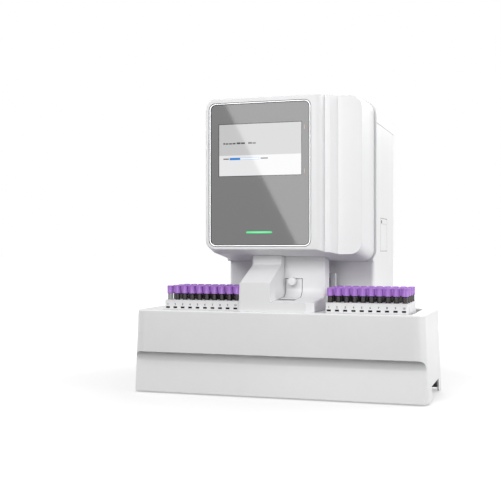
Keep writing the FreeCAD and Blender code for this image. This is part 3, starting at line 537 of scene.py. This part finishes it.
def clear_plastic(name):
    paint = Paint(name)
    scuff = noise(paint, 240.0, 3.0)
    base = mix(paint, scuff, colour(150, 152, 154), colour(182, 183, 185))
    paint.shader.inputs["IOR"].default_value = 1.49
    paint.shader.inputs["Transmission Weight"].default_value = 0.35
    return paint.shade(
        Base_Color=base, Roughness=0.2 + scuff * 0.1, Normal=bump(paint, scuff, 0.03, 0.1 * MM)
    )


def cap_plastic(name, tone):
    paint = Paint(name)
    cloud = noise(paint, 140.0, 2.0)
    deep = colour(*[max(0, v - 8) for v in tone])
    base = mix(paint, cloud, deep, colour(*tone))
    grain = noise(paint, 2200.0, 1.0)
    return paint.shade(
        Base_Color=base, Roughness=0.34 + cloud * 0.1, Normal=bump(paint, grain, 0.2, 0.04 * MM)
    )


blood_finish = blood("blood")
clear_finish = clear_plastic("clear tube plastic")
finishes["cap_purple"] = cap_plastic("purple cap", (166, 116, 203))
stopper_finish = cap_plastic("stopper rubber", (238, 230, 243))
finishes["tube_clear"] = clear_finish
print("tube finishes ready")


# %% [markdown]
# ## Paint the CAD nodes
# The record names a finish slot for each node, so one loop paints the whole machine. Six nodes
# then get a finish with lines of painted shade at their joints, or a darker steel. Curved faces
# keep the normals that came with the model.

# %% Give each node its finish
for part in frame["record"]["subparts"]:
    solid = frame["nodes"][part["node"]]
    solid.data.materials.clear()
    solid.data.materials.append(finishes[part["material_slot"]])
special = {"neck_cover": sample_finish, "sample_door": sample_finish}
special.update({node: service_finish for node in ("rear_housing", "access_door", "top_cover")})
special["door_lock"] = finishes["lock_steel"]
for node, finish in special.items():
    frame["nodes"][node].data.materials[0] = finish
print(len(frame["nodes"]), "nodes painted")


# %% [markdown]
# ## Turned shapes
# Tubes and caps are round, so they are drawn as a profile of radius and height and turned on an
# upright axis. A bmesh is quicker than a Screw modifier here, because ten tubes share one mesh.

# %% Turn a profile
def turn(mesh, profile, x, y, count, material=0, ribs=None):
    """Turn (radius, height) points on the axis at x, y; ribs maps a step to an added radius."""
    rings = []
    for radius, height in profile:
        if radius < 1e-6:
            rings.append([mesh.verts.new((x, y, height))])
            continue
        ring = []
        for step in range(count):
            angle = 2.0 * math.pi * step / count
            reach = radius + (ribs(step, height) if ribs else 0.0)
            place = (x + reach * math.cos(angle), y + reach * math.sin(angle), height)
            ring.append(mesh.verts.new(place))
        rings.append(ring)
    for lower, upper in zip(rings, rings[1:]):
        for step in range(count):
            after = (step + 1) % count
            if len(lower) == 1:
                face = mesh.faces.new((lower[0], upper[after], upper[step]))
            elif len(upper) == 1:
                face = mesh.faces.new((lower[step], lower[after], upper[0]))
            else:
                face = mesh.faces.new((lower[step], lower[after], upper[after], upper[step]))
            face.smooth = True
            face.material_index = material


def piece(name, mesh, materials, body=MAIN):
    """Link a bmesh as an object that rides on a body."""
    bmesh.ops.recalc_face_normals(mesh, faces=mesh.faces)
    data = bpy.data.meshes.new(name)
    mesh.to_mesh(data)
    mesh.free()
    for material in materials:
        data.materials.append(material)
    made = bpy.data.objects.new(name, data)
    bpy.context.scene.collection.objects.link(made)
    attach(made, body)
    return made


print("turning helper ready")


# %% [markdown]
# ## The sample tubes
# Each tube has a round bottom and runs up into its cap. One turned surface is enough for it, since
# a second one for the blood would lie only a hair inside the first. The levels differ by a
# millimetre or so, as they do on a real bench, and the first tube on the left is an empty one.

# %% Tubes, one piece for each row
PLACES = 10
TUBE_RADIUS = 6.5 * MM
CAP_SHORT = 2.5 * MM
CAP_GRIP = 0.5 * MM
ROUND_STEPS = 5
TUBE_FACETS = 28
LEVEL_BELOW_TOP = (0.2 * MM, 1.2 * MM)
ROWS = [(side, number) for side in ("right", "left") for number in range(1, 5)]
EMPTY_TUBE = ("left", 1, 0)
chance = random.Random(7)


def round_bottom(radius, low):
    """Quarter circle from the axis to the side."""
    steps = []
    for n in range(ROUND_STEPS + 1):
        angle = 0.5 * math.pi * n / ROUND_STEPS
        steps.append((radius * math.sin(angle), low + radius * (1.0 - math.cos(angle))))
    return steps


def add_tube(mesh, x, y, low, high, filled):
    """Round-bottomed tube, with a hoop at its level; blood finish if it is filled, clear if not."""
    level = high - chance.uniform(*LEVEL_BELOW_TOP)
    wall = round_bottom(TUBE_RADIUS, low) + [(TUBE_RADIUS, level)]
    top = high + CAP_SHORT + CAP_GRIP
    wall += [(TUBE_RADIUS, top), (0.0, top)]
    turn(mesh, wall, x, y, TUBE_FACETS, 1 if filled else 0)


def places_of(side, number):
    """The ten places of a rack, from the box round its caps."""
    low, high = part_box("caps_%s_%d" % (side, number))
    half = 0.5 * (high[1] - low[1])
    pitch = (high[0] - low[0] - 2.0 * half) / (PLACES - 1)
    return [(low[0] + half + pitch * n, low[1] + half) for n in range(PLACES)]


def tube_row(side, number):
    node = "tubes_%s_%d" % (side, number)
    low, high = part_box(node)
    mesh = bmesh.new()
    for n, (x, y) in enumerate(places_of(side, number)):
        filled = (side, number, n) != EMPTY_TUBE
        add_tube(mesh, x, y, low[2], high[2], filled)
    made = piece("sample_%s" % node, mesh, [clear_finish, blood_finish])
    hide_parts(node)


for side, number in ROWS:
    tube_row(side, number)
print("8 rows of tubes")


# %% [markdown]
# ## The caps
# A cap is a ribbed skirt with a smooth collar below, a rounded shoulder, and a hollow in the top
# with the rubber stopper. The ribs come from taking a little radius off every second step.

# %% Caps, one piece for each row
CAP_RADIUS = 8.25 * MM
CAP_FACETS = 48
RIB = 0.22 * MM
HOLLOW_RADIUS = CAP_RADIUS - 2.4 * MM


def add_cap(mesh, x, y, low, high):
    foot = low + CAP_SHORT

    def rib(step, height):
        ribbed = foot + 1.7 * MM < height < high - 1.0 * MM
        return -RIB if ribbed and step % 2 else 0.0

    r = CAP_RADIUS
    skirt = [
        (r - 1.6 * MM, foot), (r - 0.3 * MM, foot), (r, foot + 0.3 * MM),
        (r, foot + 1.6 * MM), (r - 0.15 * MM, foot + 1.8 * MM), (r - 0.25 * MM, high - 1.4 * MM),
        (r - 0.3 * MM, high - 0.5 * MM), (r - 0.6 * MM, high - 0.1 * MM), (r - 0.9 * MM, high),
        (r - 1.8 * MM, high), (r - 2.2 * MM, high - 0.3 * MM), (HOLLOW_RADIUS, high - 2.0 * MM),
    ]
    turn(mesh, skirt, x, y, CAP_FACETS, 0, rib)
    stopper = [
        (HOLLOW_RADIUS, high - 2.0 * MM), (2.2 * MM, high - 1.7 * MM), (0.0, high - 2.2 * MM),
    ]
    turn(mesh, stopper, x, y, CAP_FACETS, 1)


def cap_set(node, places, body=MAIN):
    low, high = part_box(node)
    mesh = bmesh.new()
    for x, y in places:
        add_cap(mesh, x, y, low[2], high[2])
    materials = [finishes["cap_purple"], stopper_finish]
    made = piece("ribbed_%s" % node, mesh, materials, body)
    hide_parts(node)


for side, number in ROWS:
    cap_set("caps_%s_%d" % (side, number), places_of(side, number))
tube_low, tube_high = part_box("gripped_tube")
held_place = (0.5 * (tube_low[0] + tube_high[0]), 0.5 * (tube_low[1] + tube_high[1]))
cap_set("gripped_cap", [held_place], "gripper")
mesh = bmesh.new()
add_tube(mesh, *held_place, tube_low[2], tube_high[2], True)
materials = [clear_finish, blood_finish]
held_tube = piece("sample_gripped_tube", mesh, materials, "gripper")
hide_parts("gripped_tube")
print("81 caps")


# %% [markdown]
# ## The knob of the sample door
# The knob is turned like the caps, on an axis that points to the front, so the mesh is made
# upright at the origin and then laid down. Its front edge is a small quarter round, which catches
# the light.

# %% Knob
KNOB_ROUND = 1.6 * MM
KNOB_STEM = 4.5 * MM
KNOB_BEVEL = 0.5 * MM
STEM_DEPTH = 5.0 * MM
ROUND_POINTS = 5
KNOB_FACETS = 64


def lay_down(verts, place, sense):
    """Move an upright shape to a place with its top pointing along Y: sense 1 or -1."""
    x, y, z = place
    for vert in verts:
        across, up, ahead = vert.co
        vert.co = (x + across, y + sense * ahead, z + up)


knob_low, knob_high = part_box("sample_door_knob")
knob_reach = 0.5 * (knob_high[0] - knob_low[0])
knob_depth = knob_high[1] - knob_low[1]
knob_profile = [
    (0.0, 0.0), (KNOB_STEM, 0.0), (KNOB_STEM, STEM_DEPTH),
    (knob_reach - KNOB_BEVEL, STEM_DEPTH), (knob_reach, STEM_DEPTH + KNOB_BEVEL),
]
for n in range(ROUND_POINTS + 1):
    angle = 0.5 * math.pi * n / ROUND_POINTS
    reach = knob_reach - KNOB_ROUND * (1.0 - math.cos(angle))
    knob_profile.append((reach, knob_depth - KNOB_ROUND * (1.0 - math.sin(angle))))
knob_profile.append((0.0, knob_depth))
mesh = bmesh.new()
turn(mesh, knob_profile, 0.0, 0.0, KNOB_FACETS)
knob_x = 0.5 * (knob_low[0] + knob_high[0])
knob_z = 0.5 * (knob_low[2] + knob_high[2])
lay_down(mesh.verts, (knob_x, knob_high[1], knob_z), -1)
knob = piece("turned_knob", mesh, [finishes["white_housing"]], "sample_door")
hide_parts("sample_door_knob")
print("knob", round(2000.0 * knob_reach, 1), "mm across")


# %% [markdown]
# ## Screws and pins at the back
# The rear panel is held by pan-head screws, and the mains inlet has three blades. Both are small
# repeated things that the eye expects on the back of an instrument.

# %% Rear screws and inlet blades
SCREW_RADIUS = 3.4 * MM
SCREW_HEIGHT = 1.6 * MM
SCREW_MARGIN = 12.0 * MM
SCREW_SHARES = (0.03, 0.34, 0.66, 0.97)
SCREW_FACETS = 24
# Painted shade: the cross recess of each screw head is a flat black cross on top of it.
CROSS_LONG = 4.4 * MM
CROSS_WIDE = 1.0 * MM
CROSS_DEEP = 0.1 * MM


def box_at(mesh, centre, size, material=0):
    made = bmesh.ops.create_cube(mesh, size=1.0)
    for vert in made["verts"]:
        vert.co = Vector([centre[n] + vert.co[n] * size[n] for n in range(3)])
        for face in vert.link_faces:
            face.material_index = material


def rear_screws():
    low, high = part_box("rear_panel")
    y = high[1]
    mesh = bmesh.new()
    for x in (low[0] + SCREW_MARGIN, high[0] - SCREW_MARGIN):
        for share in SCREW_SHARES:
            z = low[2] + share * (high[2] - low[2])
            before = len(mesh.verts)
            profile = [
                (SCREW_RADIUS, 0.0), (SCREW_RADIUS * 0.96, 0.6 * SCREW_HEIGHT),
                (SCREW_RADIUS * 0.7, SCREW_HEIGHT), (0.0, SCREW_HEIGHT),
            ]
            turn(mesh, profile, 0.0, 0.0, SCREW_FACETS)
            mesh.verts.ensure_lookup_table()
            lay_down(mesh.verts[before:], (x, y, z), 1)
            top = y + SCREW_HEIGHT
            # Painted shade of the cross recess, in the black plastic finish.
            box_at(mesh, (x, top, z), (CROSS_LONG, CROSS_DEEP, CROSS_WIDE), 1)
            box_at(mesh, (x, top, z), (CROSS_WIDE, CROSS_DEEP, CROSS_LONG), 1)
    materials = [finishes["bare_steel"], finishes["black_plastic"]]
    piece("rear_screws", mesh, materials)


BLADE = (1.6 * MM, 8.0 * MM, 4.0 * MM)
BLADE_BEHIND_RIM = 5.6 * MM
BLADE_PLACES = ((-7.0, -2.0), (0.0, 2.0), (7.0, -2.0))


def inlet_blades():
    low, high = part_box("power_inlet")
    x = 0.5 * (low[0] + high[0])
    z = 0.5 * (low[2] + high[2])
    y = high[1] - BLADE_BEHIND_RIM
    mesh = bmesh.new()
    for across, up in BLADE_PLACES:
        box_at(mesh, (x + across * MM, y, z + up * MM), BLADE)
    piece("inlet_blades", mesh, [finishes["bare_steel"]])


rear_screws()
inlet_blades()
print("8 screws and 3 blades")


# %% [markdown]
# ## Place numbers on the racks
# The places of a rack are numbered from one to ten above their windows. Each number is a small text
# turned into a mesh, a tenth of a millimetre thick, and all ten are joined to one printed piece.

# %% Printed numbers
NUMBER_HEIGHT = 5.2 * MM
FONT_SIZE = 1.37 * NUMBER_HEIGHT
NUMBER_Z = 221.8 * MM
NUMBER_WEIGHT = 0.18 * MM
INK_THICKNESS = 0.05 * MM


def ink(name, tone):
    paint = Paint(name)
    fade = noise(paint, 800.0, 2.0)
    base = mix(paint, fade, colour(*tone), colour(*[v + 24 for v in tone]))
    return paint.shade(Base_Color=base, Roughness=0.5 + fade * 0.1)


number_ink = ink("number ink", (12, 12, 14))


def lettered(text, size):
    """Mesh of a text that lies in its XY plane, centred on X."""
    curve = bpy.data.curves.new("number", "FONT")
    curve.body = text
    curve.size = size
    curve.align_x = "CENTER"
    curve.extrude = INK_THICKNESS
    curve.offset = NUMBER_WEIGHT
    curve.resolution_u = 2
    holder = bpy.data.objects.new("number", curve)
    mesh = bpy.data.meshes.new_from_object(holder)
    bpy.data.objects.remove(holder)
    return mesh


def number_row(side, number):
    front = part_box("rack_%s_%d" % (side, number))[0][1]
    row = bmesh.new()
    for n, (x, _) in enumerate(places_of(side, number)):
        mesh = lettered(str(n + 1), FONT_SIZE)
        before = len(row.verts)
        row.from_mesh(mesh)
        row.verts.ensure_lookup_table()
        for vert in row.verts[before:]:
            flat = vert.co.copy()
            vert.co = Vector((x + flat.x, front - flat.z, NUMBER_Z + flat.y))
        bpy.data.meshes.remove(mesh)
    piece("numbers_%s_%d" % (side, number), row, [number_ink])


for side, number in ROWS:
    number_row(side, number)
print("80 numbers")


# %% [markdown]
# ## Sensing slots of the racks
# Below each number the rack has a slot, through which the instrument feels for a tube. It looks
# black from the shade inside it, and that shade is painted: a near-black sheet, a thin plate a
# little behind the rack's face, sits in each slot.

# %% Painted shade in the rack slots
SLOT_WIDTH = 10.0 * MM
SLOT_HEIGHT = 4.5 * MM
SLOT_Z = 214.0 * MM
SLOT_SHADE_SET_BACK = 0.5 * MM
SLOT_SHADE_SHEET = 0.6 * MM
SLOT_SHADE_PLAY = 0.04 * MM


def slot_shade_row(side, number):
    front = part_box("rack_%s_%d" % (side, number))[0][1]
    row = bmesh.new()
    y = front + SLOT_SHADE_SET_BACK + 0.5 * SLOT_SHADE_SHEET
    for x, _ in places_of(side, number):
        size = (SLOT_WIDTH - SLOT_SHADE_PLAY, SLOT_SHADE_SHEET, SLOT_HEIGHT - SLOT_SHADE_PLAY)
        # Painted shade: a near-black sheet in the slot.
        box_at(row, (x, y, SLOT_Z + 0.5 * SLOT_HEIGHT), size)
    piece("windows_%s_%d" % (side, number), row, [slot_shade_finish])


for side, number in ROWS:
    slot_shade_row(side, number)
print("80 dark windows")


# %% [markdown]
# ## The ring round the glass
# A polished metal ring holds the glass. Its cross-section is a flat crown with a black gap towards
# the glass and a grey groove towards the bezel; their colours are painted shade, so the ring reads
# as a bright line between two darker ones. The loops of the section run round a rectangle with
# round corners and are joined to each other like the hoops of a barrel.

# %% Polished ring
CORNER_STEPS = 10
RING_WIDTH = 2.4 * MM
INNER_CORNER = 13.0 * MM
OUTER_CORNER = 16.4 * MM
RING_INSET = (3.6 * MM, 2.6 * MM, 2.2 * MM, 1.6 * MM)
RING_SECTION = [
    (0.0, 1.95, 1), (0.18, 1.2, 1), (0.34, 0.3, 0), (0.42, 0.0, 0),
    (0.70, 0.0, 0), (0.77, 0.3, 2), (0.92, 1.0, 2), (1.0, 1.1, 2),
]


def round_loop(left, right, low, high, radius):
    """Points round a rectangle with round corners, from the lower right one onwards."""
    points = []
    corners = [
        (right - radius, low + radius, -90.0), (right - radius, high - radius, 0.0),
        (left + radius, high - radius, 90.0), (left + radius, low + radius, 180.0),
    ]
    for x, z, start in corners:
        for step in range(CORNER_STEPS + 1):
            angle = math.radians(start + 90.0 * step / CORNER_STEPS)
            points.append((x + radius * math.cos(angle), z + radius * math.sin(angle)))
    return points


def polished_ring():
    """Hoops of (share of the way outwards, depth in millimetres, material up to the next hoop)."""
    low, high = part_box("glass_trim")
    left, right, under, over = [RING_WIDTH + inset for inset in RING_INSET]
    sides = (low[0] + left, high[0] - right, low[2] + under, high[2] - over)
    inner = round_loop(*sides, INNER_CORNER)
    outer = round_loop(low[0], high[0], low[2], high[2], OUTER_CORNER)
    mesh = bmesh.new()
    loops = []
    for share, depth, _ in RING_SECTION:
        loop = []
        for (x0, z0), (x1, z1) in zip(inner, outer):
            place = (x0 + share * (x1 - x0), low[1] + depth * MM, z0 + share * (z1 - z0))
            loop.append(mesh.verts.new(place))
        loops.append(loop)
    for n, (first, second) in enumerate(zip(loops, loops[1:])):
        for step in range(len(first)):
            after = (step + 1) % len(first)
            face = mesh.faces.new((first[step], first[after], second[after], second[step]))
            face.smooth = True
            face.material_index = RING_SECTION[n][2]
    # Painted shade: black plastic on the inner hoops and the groove's grey on the outer ones.
    materials = [finishes["silver_trim"], finishes["black_plastic"], groove_shade_finish]
    made = piece("polished_ring", mesh, materials)
    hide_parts("glass_trim")


polished_ring()
print("ring with", len(RING_SECTION), "hoops")


# %% [markdown]
# ## The studio
# The floor is pale and endless. To the camera and to mirrors it is topped up with a little light of
# its own, which turns it into a clean white and still leaves the shadow. The light that it throws
# back on the machine is weaker than that of a white floor, so that undersides keep their shade.

# %% Floor and world
def seen_directly(graph):
    """1 for rays from the camera, a mirror or clear plastic, and 0 for light on a matt surface."""
    kinds = ("Is Camera Ray", "Is Glossy Ray", "Is Transmission Ray")
    rays = [graph.node("ShaderNodeLightPath", {}, {}, kind) for kind in kinds]
    first = rays[0].math("MAXIMUM", rays[0], rays[1])
    return first.math("MAXIMUM", first, rays[2])


FLOOR_SEEN = (188, 188, 188)
FLOOR_THROWN = (96, 96, 96)
FLOOR_SIZE = 60.0
LIFT_NEAR = 0.48
LIFT_FAR = 1.0
LIFT_START = 0.5
LIFT_SPREAD = 1.7


def studio_floor():
    """Matt floor whose own light grows from the machine outwards, as the lamps' light falls off."""
    paint = Paint("studio floor")
    distance = paint.node("ShaderNodeVectorMath", {"operation": "LENGTH"}, {0: paint.place}, 1)
    share = paint.node("ShaderNodeMapRange", {}, {0: distance, 1: LIFT_START, 2: LIFT_SPREAD})
    lift = mix(paint, share, even(LIFT_NEAR), even(LIFT_FAR))
    paint.shader.inputs["Emission Strength"].default_value = 1.0
    paint.shader.inputs["Specular IOR Level"].default_value = 0.0
    seen = seen_directly(paint)
    glow = mix(paint, seen, even(0.0), lift)
    base = mix(paint, seen, colour(*FLOOR_THROWN), colour(*FLOOR_SEEN))
    return paint.shade(Base_Color=base, Roughness=0.9, Emission_Color=glow)


def staged(name, mesh, material):
    data = bpy.data.meshes.new(name)
    mesh.to_mesh(data)
    mesh.free()
    data.materials.append(material)
    made = bpy.data.objects.new(name, data)
    bpy.context.scene.collection.objects.link(made)
    return made


floor_mesh = bmesh.new()
bmesh.ops.create_grid(floor_mesh, x_segments=1, y_segments=1, size=0.5 * FLOOR_SIZE)
staged("studio_floor", floor_mesh, studio_floor())


def studio_world(seen_strength, light_strength):
    """White behind everything, but a weaker light on matt surfaces."""
    world = bpy.data.worlds.new("studio")
    bpy.context.scene.world = world
    world.use_nodes = True
    graph = Graph(world.node_tree, "Background")
    strength = seen_directly(graph) * (seen_strength - light_strength) + light_strength
    graph.shade(Color=even(1.0), Strength=strength)


WORLD_SEEN = 1.0
WORLD_LIGHT = 0.14
studio_world(WORLD_SEEN, WORLD_LIGHT)
print("floor and world ready")


# %% [markdown]
# ## Cards for the mirrors
# The glass shows a brighter field right of a slanting line: a softbox of the studio, mirrored in
# it. A white card that only mirrors see stands in front of the machine, on its left, and does the
# same. Its left side leans as the line does. A second, larger card stands further off in front, on
# the right, and draws the upright streaks of light on the glossy tubes.

# %% Reflection cards
CARD_GLOW = 5.2
CARD_Y = -1.5
CARD_LINE = ((-0.723, 1.223), (-0.176, 0.182))
CARD_RIGHT = 0.10


def glowing_card(glow):
    paint = Paint("card")
    paint.shader.inputs["Emission Strength"].default_value = glow
    return paint.shade(Base_Color=even(0.0), Emission_Color=even(1.0))


def mirrored_only(name, corners, glow):
    """A glowing card that neither the camera nor matt surfaces see."""
    mesh = bmesh.new()
    mesh.faces.new([mesh.verts.new(corner) for corner in corners])
    card = staged(name, mesh, glowing_card(glow))
    card.visible_camera = False
    card.visible_diffuse = False
    card.visible_transmission = False
    card.visible_volume_scatter = False
    card.visible_shadow = False


(top_x, top_z), (low_x, low_z) = CARD_LINE
corners = [(top_x, CARD_Y, top_z), (low_x, CARD_Y, low_z)]
corners += [(CARD_RIGHT, CARD_Y, low_z), (CARD_RIGHT, CARD_Y, top_z)]
mirrored_only("glass_card", corners, CARD_GLOW)

TUBE_CARD = ((-0.4, -0.6), (2.2, -0.6), (2.2, 1.2), (-0.4, 1.2))
TUBE_CARD_Y = -3.7
TUBE_CARD_GLOW = 2.2
mirrored_only("tube_card", [(x, TUBE_CARD_Y, z) for x, z in TUBE_CARD], TUBE_CARD_GLOW)
print("glass card from x", top_x, "to", CARD_RIGHT, "and a tube card")


# %% [markdown]
# ## Lamps
# Large soft lamps stand round the machine. Their powers were fitted to the brightness that the
# faces have in the picture: front and deck are the brightest, the underside of the head is the
# darkest. Two of the lamps aren't mirrored, since the glass would show them as bright squares.

# %% Eight lamps
AIM = (0.0, 0.0, 0.35)


def lamp(name, place, width, height, power, mirrored=True):
    """A soft rectangular lamp that faces the machine; sizes in metres, power in watts."""
    data = bpy.data.lights.new(name, "AREA")
    data.shape = "RECTANGLE"
    data.size = width
    data.size_y = height
    data.energy = power
    holder = bpy.data.objects.new(name, data)
    holder.location = place
    holder.visible_glossy = mirrored
    aim = Vector(AIM) - Vector(place)
    holder.rotation_euler = aim.to_track_quat("-Z", "Y").to_euler()
    bpy.context.scene.collection.objects.link(holder)


lamp("lamp_right", (3.2, -0.4, 1.0), 2.0, 2.0, 40.0)
lamp("lamp_right_back", (2.6, 1.4, 1.8), 1.6, 1.6, 42.0)
lamp("lamp_top", (0.0, -0.2, 3.4), 2.5, 2.5, 12.0)
lamp("lamp_front_high", (-0.3, -2.6, 3.6), 2.6, 1.6, 44.0)
lamp("lamp_front", (-0.5, -3.8, 1.9), 2.4, 1.2, 82.0, mirrored=False)
lamp("lamp_right_front", (3.2, -1.4, 1.2), 1.2, 1.2, 13.0, mirrored=False)
lamp("lamp_left", (-3.0, 0.4, 1.4), 2.0, 2.0, 30.0)
lamp("lamp_back", (0.0, 3.4, 1.8), 2.0, 1.4, 30.0)
print("eight lamps")
